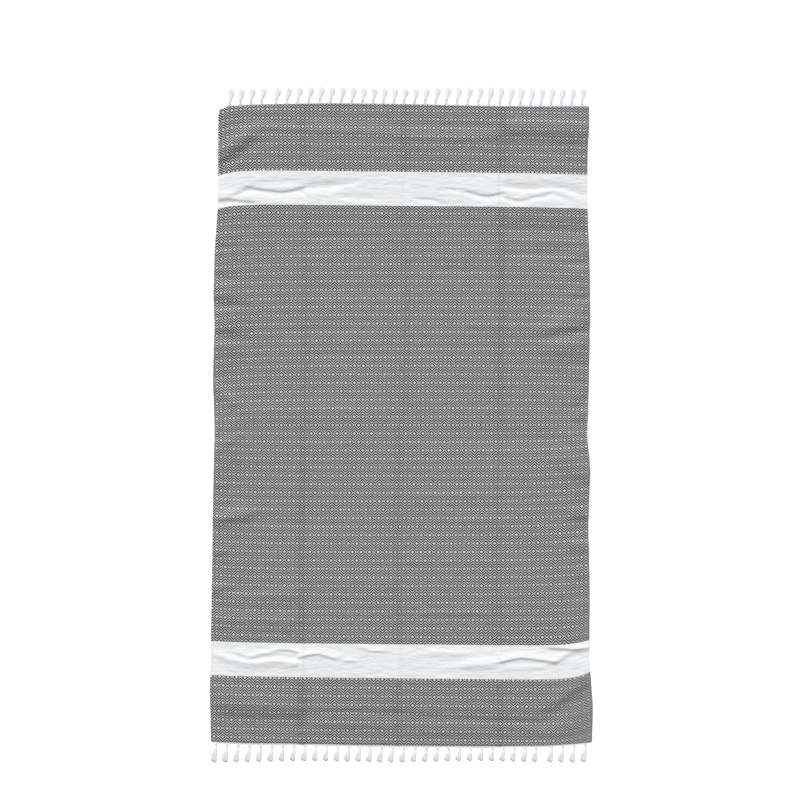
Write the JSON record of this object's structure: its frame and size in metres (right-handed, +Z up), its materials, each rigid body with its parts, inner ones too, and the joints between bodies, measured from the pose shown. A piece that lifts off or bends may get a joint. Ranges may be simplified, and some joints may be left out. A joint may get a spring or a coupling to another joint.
{
  "type": "hammam towel",
  "caption": "Flat cotton hammam towel with a small diamond twill, a plain white band near each end and a knotted tassel fringe along both ends, laid out flat.",
  "frame": {"origin": "on the surface the towel lies on, under the middle of its bounding box, fringes included", "axes": "+X across the towel from selvedge to selvedge, +Y along its length towards the far fringe, +Z up"},
  "size_m": [1.0216, 1.8066, 0.0062],
  "materials": {
    "diamond_twill": "matt woven cotton, charcoal and white diamond twill with plain white bands",
    "white_yarn": "matt loose cotton yarn"
  },
  "bodies": {
    "root": {"towel_cloth": "diamond_twill", "fringe_far": "white_yarn", "fringe_near": "white_yarn"}
  },
  "joints": []
}
